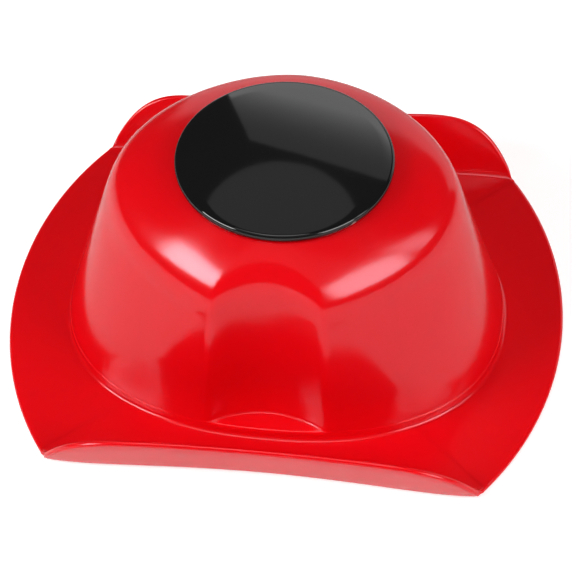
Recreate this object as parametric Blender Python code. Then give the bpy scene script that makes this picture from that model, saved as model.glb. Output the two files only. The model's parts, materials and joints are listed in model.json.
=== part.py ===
"""Hat-shaped hand guard with a press-down food pusher, for a hand slicer."""
import math

import bmesh
import bpy
from mathutils import Matrix

# Driving dimensions, in metres, with the brim standing on z = 0 and the lips along X
CLEARANCE = 0.0003            # gap between neighbouring pieces
WALL = 0.0016                 # moulded wall of the hat

BRIM_HALF_WIDTH = 0.0750      # centre to the rounded left and right ends
BRIM_ARC_HALF_DEPTH = 0.0890  # other half axis of the ellipse that rounds those ends
BRIM_EDGE = 0.0010            # narrow border that runs round the brim

FOLD_Y = 0.0565               # centre to the fold where a lip rises
FOLD_BOW = 0.0024             # how far the fold runs inward at its middle
LIP_LENGTH = 0.0199           # fold to the free edge, along the lip
LIP_DIP = 0.0026              # how much shorter the lip is at its middle
LIP_ANGLE = math.radians(68)  # lip above the level
LIP_BEND = 0.0020             # inner radius of the fold
LIP_END_POWER = 7.0           # how late the lip's ends fall away
LIP_END_ROUND = 1.05          # how steeply they do
CORNER_POWER = 10.0           # how close to the corner the fold turns in to meet the brim's edge

FOOT_HALF_X = 0.0588          # oval foot of the crown
FOOT_HALF_Y = 0.0452
FOOT_POWER = 2.3
FOOT_HEIGHT = 0.0028
FOOT_FILLET = 0.0012
LEDGE_ROUND = 0.0006          # rise of the ledge from the foot to the finger hollow

CROWN_HEIGHT = 0.0579         # floor to the flat seat of the cap
CROWN_SLOPE_X = 0.28          # inward run per unit of height, left and right
CROWN_SLOPE_Y = 0.13          # the same at the back
SHOULDER_DROP = 0.0129        # seat to the start of the shoulder's curve
SHOULDER_CORNER_DROP = 0.0026  # seat to the corner that the curve rounds off
SHOULDER_WEIGHT = 2.76        # how closely the curve follows that corner
SHOULDER_POWER = 1.82         # roundness of the oval at the shoulder
SEAT_INSET = 0.0005           # edge of the seat inside the rim of the cap

FRONT_SLOPE = 0.05            # the same five values at the front, where the shoulder is rounder
FRONT_SHOULDER_DROP = 0.0181
FRONT_CORNER_DROP = 0.0097
FRONT_WEIGHT = 1.91
FRONT_POWER = 1.67
FRONT_BEGIN = -0.30           # sine of the angle at which they begin to take over, behind the middle
FRONT_FULL = 0.84             # sine of the angle at which they apply in full

HOLLOW_DEPTH = 0.0063         # front finger hollow, in from the foot
HOLLOW_RADIUS = 0.0204
HOLLOW_SLOPE = 0.068
HOLLOW_BLEND = 0.0069         # rounding where the hollow meets the lobes

SLEEVE_LENGTH = 0.0103        # guide under the crown
SLEEVE_WALL = 0.0020
SLEEVE_TOP_DROP = 0.0002      # top of the sleeve below the seat

STEM_RADIUS = 0.0080
STEM_WALL = 0.0020
STEM_WEB = 0.0025             # end walls of the hollow stem

CAP_RADIUS = 0.0285
CAP_THICKNESS = 0.0027
CAP_ROUND = 0.0009            # rounded rim
CAP_UNDER_ROUND = 0.0012      # the same below
CAP_DOME = 0.0003             # rise of the top from its rim to its middle
CAP_BOSS_RADIUS = 0.0045
CAP_BOSS_LENGTH = 0.0080
CAP_PILOT_DEPTH = 0.0070

PLATE_RADIUS = 0.0280
PLATE_THICKNESS = 0.0030
PLATE_ROUND = 0.0006
PLATE_HEIGHT = 0.0060         # floor to the underside of the plate
PRONG_PASSAGE = 0.0006        # room round a prong in the plate

PUSHER_SCREW_RADIUS = 0.0015
PUSHER_SCREW_HEAD_RADIUS = 0.0030
PUSHER_SCREW_HEAD_HEIGHT = 0.0015
PUSHER_SCREW_TIP_ROOM = 0.0010  # free thread depth beyond the tip

RING_INNER_RADIUS = 0.0130
RING_OUTER_RADIUS = 0.0265
RING_THICKNESS = 0.0020
BOSS_RADIUS = 0.0030
BOSS_LENGTH = 0.0040
BOSS_ROOT = 0.0008            # how far a boss runs into the top wall
RING_SCREW_CIRCLE = 0.0200
RING_SCREW_COUNT = 4
RING_SCREW_RADIUS = 0.0012
RING_SCREW_HEAD_RADIUS = 0.0023
RING_SCREW_HEAD_HEIGHT = 0.0014
RING_SCREW_REACH = 0.0034     # thread inside the boss

PRONG_CIRCLE = 0.0200
PRONG_COUNT = 8
PRONG_RADIUS = 0.0010
PRONG_HEAD_RADIUS = 0.0019
PRONG_HEAD_HEIGHT = 0.0010
PRONG_POINT = 0.0050          # length of the pointed end
PRONG_TIP_RADIUS = 0.0002
PRONG_TIP_INSET = 0.0005      # tip above the underside of the plate

# How finely the curves are cut
BRIM_ARC_STEPS = 13
LIP_STEPS = 20
LIP_SPREAD = 0.25             # how far the columns of a lip are drawn towards its ends
LIP_RINGS = 5
BEND_RINGS = 3
FILLET_RINGS = 2
WALL_RINGS = 3
SHOULDER_RINGS = 8
CAP_SIDES = 56
STEM_SIDES = 32
SMALL_SIDES = 12
FLATS_PER_PRONG = 4           # each hole of the ring and the plate lies within one flat

# Heights that follow from the driving dimensions
SEAT_RADIUS = CAP_RADIUS - SEAT_INSET
BORE_RADIUS = STEM_RADIUS + CLEARANCE
FOOT_TOP = WALL + FOOT_HEIGHT
INNER_TOP = CROWN_HEIGHT - WALL
SLEEVE_BOTTOM = INNER_TOP - SLEEVE_LENGTH
BOSS_BOTTOM = INNER_TOP - BOSS_LENGTH
RING_TOP = BOSS_BOTTOM - CLEARANCE
RING_BOTTOM = RING_TOP - RING_THICKNESS
PLATE_TOP = PLATE_HEIGHT + PLATE_THICKNESS
CAP_BOTTOM = CROWN_HEIGHT + CLEARANCE
CAP_TOP = CAP_BOTTOM + CAP_THICKNESS
CAP_BOSS_END = CAP_BOTTOM - CAP_BOSS_LENGTH
STEM_BOTTOM = PLATE_TOP + CLEARANCE
STEM_TOP = CAP_BOTTOM - CLEARANCE
STEM_SOCKET_FLOOR = CAP_BOSS_END - CLEARANCE
PUSHER_SCREW_PASSAGE = PUSHER_SCREW_RADIUS + CLEARANCE

# Colour, roughness and metallic value of each material
FINISHES = {
    "red_plastic": ((0.62, 0.004, 0.010), 0.16, 0.0),
    "black_plastic": ((0.006, 0.006, 0.007), 0.10, 0.0),
    "white_plastic": ((0.78, 0.77, 0.73), 0.35, 0.0),
    "steel": ((0.60, 0.60, 0.61), 0.25, 1.0),
}


def material(name):
    """The named finish, made once."""
    found = bpy.data.materials.get(name)
    if found:
        return found
    colour, roughness, metallic = FINISHES[name]
    made = bpy.data.materials.new(name)
    made.use_nodes = True
    shader = made.node_tree.nodes["Principled BSDF"]
    shader.inputs["Base Color"].default_value = (*colour, 1.0)
    shader.inputs["Roughness"].default_value = roughness
    shader.inputs["Metallic"].default_value = metallic
    return made


def add_object(name, bm, finish, location=(0, 0, 0), parent=None):
    """Turn a bmesh into a named object with a finish."""
    mesh = bpy.data.meshes.new(name)
    bm.to_mesh(mesh)
    bm.free()
    mesh.shade_smooth()
    mesh.set_sharp_from_angle(angle=math.radians(35))
    mesh.materials.append(material(finish))
    obj = bpy.data.objects.new(name, mesh)
    obj.location = location
    obj.parent = parent
    bpy.context.collection.objects.link(obj)
    return obj


def hide_helper(obj):
    """Mark a cutter or a shape to be joined, which isn't a piece of its own."""
    obj.hide_render = True
    obj.display_type = "WIRE"
    return obj


def turned_mesh(profile, sides, bm=None, centre=(0.0, 0.0)):
    """Turn a closed outline of (radius, height) points about an upright axis, with a flat towards +X."""
    made = bmesh.new()
    verts = [made.verts.new((r, 0.0, z)) for r, z in profile]
    edges = [made.edges.new((verts[i - 1], verts[i])) for i in range(len(verts))]
    bmesh.ops.spin(made, geom=verts + edges, cent=(0, 0, 0), axis=(0, 0, 1),
                   angle=2 * math.pi, steps=sides, use_merge=True)
    bmesh.ops.remove_doubles(made, verts=made.verts, dist=1e-6)
    bmesh.ops.dissolve_degenerate(made, edges=made.edges, dist=1e-6)
    bmesh.ops.recalc_face_normals(made, faces=made.faces)
    half_side = Matrix.Rotation(math.pi / sides, 3, "Z")
    bmesh.ops.rotate(made, verts=made.verts, cent=(0, 0, 0), matrix=half_side)
    bmesh.ops.translate(made, verts=made.verts, vec=(*centre, 0.0))
    if bm is None:
        return made
    scratch = bpy.data.meshes.new("scratch")
    made.to_mesh(scratch)
    made.free()
    bm.from_mesh(scratch)
    bpy.data.meshes.remove(scratch)
    return bm


def rod_profile(radius, low, high):
    """Outline of a plain rod."""
    return [(0, high), (radius, high), (radius, low), (0, low)]


def circle_places(circle_radius, count):
    """Points spaced evenly round the axis and alike on both sides of X and Y, with their angles."""
    places = []
    for i in range(count):
        angle = 2 * math.pi * (i + 0.5) / count
        places.append((circle_radius * math.cos(angle), circle_radius * math.sin(angle), angle))
    return places


def rods(name, radius, low, high, places):
    """Helper of plain rods, one at each place."""
    bm = bmesh.new()
    for x, y, _ in places:
        turned_mesh(rod_profile(radius, low, high), SMALL_SIDES, bm, (x, y))
    return hide_helper(add_object(name, bm, "steel"))


def boolean(obj, other, operation):
    """Join or cut an object with a helper."""
    modifier = obj.modifiers.new(other.name, "BOOLEAN")
    modifier.operation = operation
    modifier.solver = "EXACT"
    modifier.object = other


DRILLED_SIDES = FLATS_PER_PRONG * PRONG_COUNT
PRONG_PLACES = circle_places(PRONG_CIRCLE, PRONG_COUNT)
RING_SCREW_PLACES = circle_places(RING_SCREW_CIRCLE, RING_SCREW_COUNT)


def corner_x():
    """Half the length of the straight fold."""
    return BRIM_HALF_WIDTH * math.sqrt(1 - (FOLD_Y / BRIM_ARC_HALF_DEPTH) ** 2)


def end_share(x):
    """Nought at the middle of the lips, one at their ends."""
    return min(abs(x) / corner_x(), 1.0)


def middle_share(x):
    """One at the middle of the lips, nought at their ends."""
    return (1 - end_share(x) ** 2) ** 2


def lip_height(x):
    """Length of the lip above the fold, rounded away to the border at its ends."""
    full = LIP_LENGTH - LIP_DIP * middle_share(x)
    return max(full * (1 - end_share(x) ** LIP_END_POWER) ** LIP_END_ROUND, BRIM_EDGE)


def ring_distances(length):
    """Where the rings of the rim lie along a border or lip of this length."""
    bend = LIP_BEND * LIP_ANGLE
    last_bend = min(bend, length * BEND_RINGS / LIP_RINGS)
    distances = [last_bend * i / BEND_RINGS for i in range(BEND_RINGS + 1)]
    rest = LIP_RINGS - BEND_RINGS
    return distances + [last_bend + (length - last_bend) * i / rest for i in range(1, rest + 1)]


def folded(x, side, distance):
    """Point on the upper face of a lip, at a distance along it from the fold."""
    start = FOLD_Y - FOLD_BOW * middle_share(x) - BRIM_EDGE * end_share(x) ** CORNER_POWER
    bend = LIP_BEND * LIP_ANGLE
    turn = min(distance, bend) / LIP_BEND
    rest = max(distance - bend, 0.0)
    y = start + LIP_BEND * math.sin(turn) + rest * math.cos(LIP_ANGLE)
    z = WALL + LIP_BEND * (1 - math.cos(turn)) + rest * math.sin(LIP_ANGLE)
    return (x, side * y, z)


def arc_columns(side):
    """Columns of points across the border of the left or right end, from inside to its edge."""
    columns = []
    reach = math.asin(FOLD_Y / BRIM_ARC_HALF_DEPTH)
    for i in range(BRIM_ARC_STEPS):
        angle = -reach + 2 * reach * (i + 0.5) / BRIM_ARC_STEPS
        x = BRIM_HALF_WIDTH * math.cos(angle)
        y = BRIM_ARC_HALF_DEPTH * math.sin(angle)
        nx = x / BRIM_HALF_WIDTH ** 2
        ny = y / BRIM_ARC_HALF_DEPTH ** 2
        size = math.hypot(nx, ny)
        column = []
        for distance in ring_distances(BRIM_EDGE):
            inset = BRIM_EDGE - distance
            column.append((side * (x - nx / size * inset), side * (y - ny / size * inset), WALL))
        columns.append(column)
    return columns


def lip_columns(side):
    """Columns of points up the back or front lip, from the fold to its free edge."""
    columns = []
    for i in range(LIP_STEPS + 1):
        u = 1 - 2 * i / LIP_STEPS
        x = side * corner_x() * ((1 + LIP_SPREAD) * u - LIP_SPREAD * u ** 3)
        columns.append([folded(x, side, distance) for distance in ring_distances(lip_height(x))])
    return columns


def oval_radius(angle, half_x, half_y, power):
    """Distance from the axis to a rounded oval, in one direction."""
    share_x = abs(math.cos(angle)) / half_x
    share_y = abs(math.sin(angle)) / half_y
    return (share_x ** power + share_y ** power) ** (-1 / power)


def hollowed(radius, angle, z):
    """The same distance with the front finger hollow taken out of it."""
    centre = FOOT_HALF_Y - HOLLOW_DEPTH + HOLLOW_RADIUS - HOLLOW_SLOPE * (z - FOOT_TOP)
    under_root = HOLLOW_RADIUS ** 2 - (centre * math.cos(angle)) ** 2
    if under_root <= 0 or math.sin(angle) > 0:
        return radius
    hollow = -centre * math.sin(angle) - math.sqrt(under_root)
    share = max(HOLLOW_BLEND - abs(radius - hollow), 0.0) / HOLLOW_BLEND
    return min(radius, hollow) - share ** 2 * HOLLOW_BLEND / 4


def foot_levels():
    """Heights and half axes of the oval from the brim to the top of the foot."""
    levels = []
    for i in range(FILLET_RINGS + 1):
        turn = math.pi / 2 * i / FILLET_RINGS
        out = FOOT_FILLET * (1 - math.sin(turn))
        z = WALL + FOOT_FILLET * (1 - math.cos(turn))
        levels.append((z, FOOT_HALF_X + out, FOOT_HALF_Y + out, FOOT_POWER))
    levels.append((FOOT_TOP, FOOT_HALF_X, FOOT_HALF_Y, FOOT_POWER))
    return levels


def crown_shape(angle):
    """Slope, shoulder drop, corner drop, weight and power of the crown in one direction."""
    around = (CROWN_SLOPE_Y, SHOULDER_DROP, SHOULDER_CORNER_DROP, SHOULDER_WEIGHT, SHOULDER_POWER)
    front = (FRONT_SLOPE, FRONT_SHOULDER_DROP, FRONT_CORNER_DROP, FRONT_WEIGHT, FRONT_POWER)
    share = (-math.sin(angle) - FRONT_BEGIN) / (FRONT_FULL - FRONT_BEGIN)
    share = min(max(share, 0.0), 1.0)
    share = share ** 2 * (3 - 2 * share)
    return [a + (b - a) * share for a, b in zip(around, front)]


def crown_levels(angle):
    """Heights and half axes of the oval from the ledge up to the seat of the cap, in one direction."""
    slope_y, shoulder_drop, corner_drop, shoulder_weight, shoulder_power = crown_shape(angle)
    shoulder_z = CROWN_HEIGHT - shoulder_drop

    def wall_level(z):
        rise = z - FOOT_TOP
        share = min(rise / (shoulder_z - FOOT_TOP), 1.0)
        power = FOOT_POWER + (shoulder_power - FOOT_POWER) * share
        return (z, FOOT_HALF_X - CROWN_SLOPE_X * rise, FOOT_HALF_Y - slope_y * rise, power)

    start = FOOT_TOP + LEDGE_ROUND
    step = (shoulder_z - start) / WALL_RINGS
    levels = [wall_level(start + step * i) for i in range(WALL_RINGS + 1)]
    low = levels[-1]
    corner = wall_level(CROWN_HEIGHT - corner_drop)
    high = (CROWN_HEIGHT, SEAT_RADIUS, SEAT_RADIUS, 2.0)
    for i in range(1, SHOULDER_RINGS + 1):
        t = i / SHOULDER_RINGS
        weights = ((1 - t) ** 2, 2 * t * (1 - t) * shoulder_weight, t ** 2)
        total = sum(weights)
        levels.append(tuple(sum(w * v for w, v in zip(weights, values)) / total
                            for values in zip(low, corner, high)))
    return levels


def hat_rings():
    """Rings of points over the outer face of the hat, from its edge to the hole in its top."""
    columns = arc_columns(1) + lip_columns(1) + arc_columns(-1) + lip_columns(-1)
    angles = [math.atan2(column[0][1], column[0][0]) for column in columns]
    rings = [[column[i] for column in columns] for i in reversed(range(LIP_RINGS + 1))]

    def ring(radii, z):
        rings.append([(r * math.cos(a), r * math.sin(a), z) for r, a in zip(radii, angles)])

    for z, half_x, half_y, power in foot_levels():
        ring([oval_radius(a, half_x, half_y, power) for a in angles], z)
    for levels in zip(*[crown_levels(a) for a in angles]):
        points = []
        for a, (z, half_x, half_y, power) in zip(angles, levels):
            radius = hollowed(oval_radius(a, half_x, half_y, power), a, z)
            points.append((radius * math.cos(a), radius * math.sin(a), z))
        rings.append(points)
    hole = BORE_RADIUS + SLEEVE_WALL / 2
    ring([hole] * len(angles), CROWN_HEIGHT)
    return rings


def hat_shell():
    """The red moulding: brim, lips, foot, crown, guide sleeve and screw bosses in one piece."""
    bm = bmesh.new()
    rings = [[bm.verts.new(point) for point in points] for points in hat_rings()]
    for outer, inner in zip(rings, rings[1:]):
        for i in range(len(outer)):
            bm.faces.new((outer[i - 1], outer[i], inner[i], inner[i - 1]))
    hat = add_object("hat_shell", bm, "red_plastic")
    wall = hat.modifiers.new("wall", "SOLIDIFY")
    wall.thickness = WALL
    wall.offset = -1
    wall.use_even_offset = True

    sleeve_top = CROWN_HEIGHT - SLEEVE_TOP_DROP
    outer_radius = BORE_RADIUS + SLEEVE_WALL
    sleeve = [(BORE_RADIUS, sleeve_top), (outer_radius, sleeve_top),
              (outer_radius, SLEEVE_BOTTOM), (BORE_RADIUS, SLEEVE_BOTTOM)]
    inside = turned_mesh(sleeve, STEM_SIDES)
    for x, y, _ in RING_SCREW_PLACES:
        turned_mesh(rod_profile(BOSS_RADIUS, BOSS_BOTTOM, INNER_TOP + BOSS_ROOT), SMALL_SIDES, inside, (x, y))
    boolean(hat, hide_helper(add_object("sleeve_and_bosses", inside, "red_plastic")), "UNION")

    pilot = RING_SCREW_RADIUS + CLEARANCE
    pilots = rods("boss_pilots", pilot, BOSS_BOTTOM - BOSS_LENGTH, INNER_TOP, RING_SCREW_PLACES)
    boolean(hat, pilots, "DIFFERENCE")
    return hat


def prong_ring():
    """Carrier ring under the crown, drilled for the prongs and its screws."""
    profile = [(RING_INNER_RADIUS, RING_TOP), (RING_OUTER_RADIUS, RING_TOP),
               (RING_OUTER_RADIUS, RING_BOTTOM), (RING_INNER_RADIUS, RING_BOTTOM)]
    ring = add_object("prong_ring", turned_mesh(profile, DRILLED_SIDES), "white_plastic")
    low = RING_BOTTOM - RING_THICKNESS
    high = RING_TOP + RING_THICKNESS
    boolean(ring, rods("ring_prong_holes", PRONG_RADIUS + CLEARANCE, low, high, PRONG_PLACES), "DIFFERENCE")
    screw_hole = RING_SCREW_RADIUS + CLEARANCE
    boolean(ring, rods("ring_screw_holes", screw_hole, low, high, RING_SCREW_PLACES), "DIFFERENCE")


def prongs():
    """Steel prongs with a flat head above the ring and a point at the plate."""
    head_bottom = RING_TOP + CLEARANCE
    head_top = head_bottom + PRONG_HEAD_HEIGHT
    tip = PLATE_HEIGHT + PRONG_TIP_INSET
    profile = [(0, head_top), (PRONG_HEAD_RADIUS, head_top), (PRONG_HEAD_RADIUS, head_bottom),
               (PRONG_RADIUS, head_bottom), (PRONG_RADIUS, tip + PRONG_POINT),
               (PRONG_TIP_RADIUS, tip), (0, tip)]
    for number, (x, y, angle) in enumerate(PRONG_PLACES, start=1):
        prong = add_object(f"prong_{number}", turned_mesh(profile, SMALL_SIDES), "steel", (x, y, 0))
        prong.rotation_euler = (0, 0, angle)


def ring_screws():
    """Screws that hold the ring up against the bosses."""
    head_top = RING_BOTTOM - CLEARANCE
    head_bottom = head_top - RING_SCREW_HEAD_HEIGHT
    tip = BOSS_BOTTOM + RING_SCREW_REACH
    profile = [(0, tip), (RING_SCREW_RADIUS, tip), (RING_SCREW_RADIUS, head_top),
               (RING_SCREW_HEAD_RADIUS, head_top), (RING_SCREW_HEAD_RADIUS, head_bottom), (0, head_bottom)]
    for number, (x, y, angle) in enumerate(RING_SCREW_PLACES, start=1):
        screw = add_object(f"ring_screw_{number}", turned_mesh(profile, SMALL_SIDES), "steel", (x, y, 0))
        screw.rotation_euler = (0, 0, angle)


def press_cap(axis):
    """Black cap with a rounded rim, a slightly domed top and a boss below for the screw."""
    inner = CAP_RADIUS - CAP_ROUND
    profile = [(0, CAP_TOP)]
    for share in (0.35, 0.7, 1.0):
        profile.append((inner * share, CAP_TOP - CAP_DOME * share ** 2))
    middle = CAP_TOP - CAP_DOME - CAP_ROUND
    for turn in (60, 30, 0):
        angle = math.radians(turn)
        profile.append((inner + CAP_ROUND * math.cos(angle), middle + CAP_ROUND * math.sin(angle)))
    pilot_end = CAP_BOSS_END + CAP_PILOT_DEPTH
    middle = CAP_BOTTOM + CAP_UNDER_ROUND
    for turn in (0, 30, 60, 90):
        angle = math.radians(turn)
        profile.append((CAP_RADIUS - CAP_UNDER_ROUND * (1 - math.cos(angle)),
                        middle - CAP_UNDER_ROUND * math.sin(angle)))
    profile += [(CAP_BOSS_RADIUS, CAP_BOTTOM), (CAP_BOSS_RADIUS, CAP_BOSS_END),
                (PUSHER_SCREW_PASSAGE, CAP_BOSS_END), (PUSHER_SCREW_PASSAGE, pilot_end), (0, pilot_end)]
    add_object("press_cap", turned_mesh(profile, CAP_SIDES), "black_plastic", parent=axis)


def pusher_stem(axis):
    """Hollow stem with a socket for the cap's boss and a hole for the screw in each end wall."""
    socket = CAP_BOSS_RADIUS + CLEARANCE
    cavity = STEM_RADIUS - STEM_WALL
    cavity_top = STEM_SOCKET_FLOOR - STEM_WEB
    cavity_bottom = STEM_BOTTOM + STEM_WEB
    profile = [(socket, STEM_TOP), (STEM_RADIUS, STEM_TOP), (STEM_RADIUS, STEM_BOTTOM),
               (PUSHER_SCREW_PASSAGE, STEM_BOTTOM), (PUSHER_SCREW_PASSAGE, cavity_bottom),
               (cavity, cavity_bottom), (cavity, cavity_top), (PUSHER_SCREW_PASSAGE, cavity_top),
               (PUSHER_SCREW_PASSAGE, STEM_SOCKET_FLOOR), (socket, STEM_SOCKET_FLOOR)]
    add_object("pusher_stem", turned_mesh(profile, STEM_SIDES), "white_plastic", parent=axis)


def pusher_plate(axis):
    """Round plate that presses on the food, with passages for the prongs and a recess for the screw."""
    recess = PUSHER_SCREW_HEAD_RADIUS + CLEARANCE
    recess_top = PLATE_HEIGHT + PUSHER_SCREW_HEAD_HEIGHT + CLEARANCE
    profile = [(PUSHER_SCREW_PASSAGE, PLATE_TOP), (PLATE_RADIUS - PLATE_ROUND, PLATE_TOP),
               (PLATE_RADIUS, PLATE_TOP - PLATE_ROUND), (PLATE_RADIUS, PLATE_HEIGHT + PLATE_ROUND),
               (PLATE_RADIUS - PLATE_ROUND, PLATE_HEIGHT), (recess, PLATE_HEIGHT),
               (recess, recess_top), (PUSHER_SCREW_PASSAGE, recess_top)]
    plate = add_object("pusher_plate", turned_mesh(profile, DRILLED_SIDES), "white_plastic", parent=axis)
    low = PLATE_HEIGHT - PLATE_THICKNESS
    high = PLATE_TOP + PLATE_THICKNESS
    boolean(plate, rods("plate_prong_holes", PRONG_RADIUS + PRONG_PASSAGE, low, high, PRONG_PLACES),
            "DIFFERENCE")


def pusher_screw(axis):
    """Long screw that clamps plate, stem and cap together from below."""
    head_top = PLATE_HEIGHT + PUSHER_SCREW_HEAD_HEIGHT
    tip = CAP_BOSS_END + CAP_PILOT_DEPTH - PUSHER_SCREW_TIP_ROOM
    profile = [(0, tip), (PUSHER_SCREW_RADIUS, tip), (PUSHER_SCREW_RADIUS, head_top),
               (PUSHER_SCREW_HEAD_RADIUS, head_top), (PUSHER_SCREW_HEAD_RADIUS, PLATE_HEIGHT),
               (0, PLATE_HEIGHT)]
    add_object("pusher_screw", turned_mesh(profile, SMALL_SIDES), "steel", parent=axis)


def main():
    """Clear the scene and build every piece."""
    for obj in list(bpy.data.objects):
        bpy.data.objects.remove(obj)
    hat_shell()
    prong_ring()
    prongs()
    ring_screws()
    axis = bpy.data.objects.new("pusher_axis", None)
    bpy.context.collection.objects.link(axis)
    press_cap(axis)
    pusher_stem(axis)
    pusher_plate(axis)
    pusher_screw(axis)


main()
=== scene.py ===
"""Looks of the hat-shaped slicer hand guard: glossy red moulding, black press cap and the pusher inside."""
import json
import math

import bmesh
import bpy
from mathutils import Matrix, Vector

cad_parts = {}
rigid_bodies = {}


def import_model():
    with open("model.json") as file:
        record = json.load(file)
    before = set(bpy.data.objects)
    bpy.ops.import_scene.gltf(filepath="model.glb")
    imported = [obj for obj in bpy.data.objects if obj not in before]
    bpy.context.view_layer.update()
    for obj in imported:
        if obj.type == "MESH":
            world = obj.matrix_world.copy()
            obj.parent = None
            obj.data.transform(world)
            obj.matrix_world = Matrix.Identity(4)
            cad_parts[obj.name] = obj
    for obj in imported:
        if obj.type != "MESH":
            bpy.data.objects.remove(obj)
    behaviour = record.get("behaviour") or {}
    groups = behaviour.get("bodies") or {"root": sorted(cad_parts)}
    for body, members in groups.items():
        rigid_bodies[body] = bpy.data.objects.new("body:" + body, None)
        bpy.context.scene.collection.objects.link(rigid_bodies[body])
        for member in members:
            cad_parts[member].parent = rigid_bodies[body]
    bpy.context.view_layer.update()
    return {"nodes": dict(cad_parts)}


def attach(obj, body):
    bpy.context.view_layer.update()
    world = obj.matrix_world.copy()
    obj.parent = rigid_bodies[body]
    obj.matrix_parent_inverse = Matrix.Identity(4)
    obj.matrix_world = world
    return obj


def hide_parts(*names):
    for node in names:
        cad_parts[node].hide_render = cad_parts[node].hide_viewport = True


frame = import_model()

# Hat, in metres, with the brim standing on z = 0 and the lips along X
CLEARANCE = 0.0003            # gap between neighbouring pieces
WALL = 0.0016                 # moulded wall of the hat

BRIM_HALF_WIDTH = 0.0750      # centre to the rounded left and right ends
BRIM_ARC_HALF_DEPTH = 0.0890  # other half axis of the ellipse that rounds those ends
BRIM_EDGE = 0.0010            # narrow border that runs round the brim

FOLD_Y = 0.0565               # centre to the fold where a lip rises
FOLD_BOW = 0.0024             # how far the fold runs inward at its middle
LIP_LENGTH = 0.0199           # fold to the free edge, along the lip
LIP_DIP = 0.0026              # how much shorter the lip is at its middle
LIP_ANGLE = math.radians(68)  # lip above the level
LIP_BEND = 0.0020             # inner radius of the fold
LIP_END_POWER = 7.0           # how late the lip's ends fall away
LIP_END_ROUND = 1.05          # how steeply they do
CORNER_POWER = 10.0           # how close to the corner the fold turns in to meet the brim's edge

FOOT_HALF_X = 0.0588          # oval foot of the crown
FOOT_HALF_Y = 0.0452
FOOT_POWER = 2.3
FOOT_HEIGHT = 0.0028
FOOT_FILLET = 0.0012
LEDGE_EDGE = 0.0006           # rounded edge of the ledge between the foot and the finger hollow
LEDGE_RISE = 0.00015          # how much the ledge climbs towards the hollow
LEDGE_FILLET = 0.0010         # rounding from the ledge into the hollow
INNER_LEDGE_EDGE = 0.0003     # edge of the ledge on the inner face

CROWN_HEIGHT = 0.0579         # floor to the flat seat of the cap
CROWN_SLOPE_X = 0.28          # inward run per unit of height, left and right
CROWN_SLOPE_Y = 0.13          # the same at the back
SHOULDER_DROP = 0.0129        # seat to the start of the shoulder's curve
SHOULDER_CORNER_DROP = 0.0026  # seat to the corner that the curve rounds off
SHOULDER_WEIGHT = 2.76        # how closely the curve follows that corner
SHOULDER_POWER = 1.82         # roundness of the oval at the shoulder
SEAT_INSET = 0.0005           # edge of the seat inside the rim of the cap
CIRCLE_POWER = 2.0            # roundness of the seat, a plain circle
SEAT_CREASE = 0.08            # last ring before the seat's edge, in steps of the shoulder
SEAT_FLAT = 0.0003            # first ring inside the seat's edge
SEAT_MIDDLE = 0.66            # ring on the seat, as a share of its radius

FRONT_SLOPE = 0.05            # slope and shoulder again at the front, where the shoulder is rounder
FRONT_SHOULDER_DROP = 0.0181
FRONT_CORNER_DROP = 0.0097
FRONT_WEIGHT = 1.91
FRONT_POWER = 1.67
FRONT_BEGIN = -0.30           # sine of the angle at which these begin to take over, behind the middle
FRONT_FULL = 0.84             # sine of the angle at which they apply in full

HOLLOW_DEPTH = 0.0063         # front finger hollow, in from the foot
HOLLOW_RADIUS = 0.0204
HOLLOW_SLOPE = 0.068
HOLLOW_BLEND = 0.0069         # rounding where the hollow meets the lobes

SLEEVE_LENGTH = 0.0103        # guide under the crown
SLEEVE_WALL = 0.0020
SLEEVE_ROOT = 0.0010          # rounding from the sleeve into the crown
SLEEVE_END_LIFT = 0.0001      # end of the sleeve short of its full length
SLEEVE_END_FLAT = 0.7         # flat part of that end, as a share of the wall
BORE_ROUND = 0.0005           # rounded mouth of the bore
BORE_LAND = 1.5               # ring round the mouth, as a share of the bore's radius
ROUND_MIDDLE = 0.3            # middle of a rounding off its corner, as a share of its radius

# Cap
CAP_RADIUS = 0.0285
CAP_THICKNESS = 0.0027
CAP_ROUND = 0.0009            # rounded rim
CAP_UNDER_ROUND = 0.0012      # the same below
CAP_DOME = 0.0003             # rise of the top from its rim to its middle
CAP_BOSS_RADIUS = 0.0045
CAP_BOSS_LENGTH = 0.0080
CAP_PILOT_DEPTH = 0.0070
GATE_PLACE = (0.0199, -0.0199, 0.0588)  # mark of the moulding gate on the rim
GATE_CORE = 0.0005
GATE_REACH = 0.0011

# Stem, plate and long screw
STEM_RADIUS = 0.0080
STEM_WALL = 0.0020
STEM_WEB = 0.0025             # end walls of the hollow stem
PLATE_RADIUS = 0.0280
PLATE_THICKNESS = 0.0030
PLATE_BOTTOM = 0.0060         # floor to the underside of the plate
PRONG_PASSAGE = 0.0006        # room round a prong in the plate
LONG_SCREW_RADIUS = 0.0015
LONG_SCREW_HEAD = 0.0030
LONG_SCREW_HEAD_HEIGHT = 0.0015
LONG_SCREW_TIP_ROOM = 0.0010  # free thread depth beyond the tip

# Prongs, their carrier ring and its screws
RING_INNER = 0.0130
RING_OUTER = 0.0265
RING_THICKNESS = 0.0020
BOSS_RADIUS = 0.0030
BOSS_LENGTH = 0.0040
BOSS_FILLET = 0.0006
PRONG_CIRCLE = 0.0200         # prongs and small screws stand on one circle
PRONG_COUNT = 8
PRONG_RADIUS = 0.0010
PRONG_HEAD = 0.0019
PRONG_HEAD_HEIGHT = 0.0010
PRONG_POINT = 0.0050          # length of the pointed end
PRONG_POINT_ROUND = 0.0006    # where the point begins
PRONG_TIP_RADIUS = 0.0002
PRONG_TIP_INSET = 0.0005      # tip above the underside of the plate
SMALL_SCREW_COUNT = 4
SMALL_SCREW_RADIUS = 0.0012
SMALL_SCREW_HEAD = 0.0023
SMALL_SCREW_HEAD_HEIGHT = 0.0014
SMALL_SCREW_REACH = 0.0034    # thread inside the boss

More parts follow.
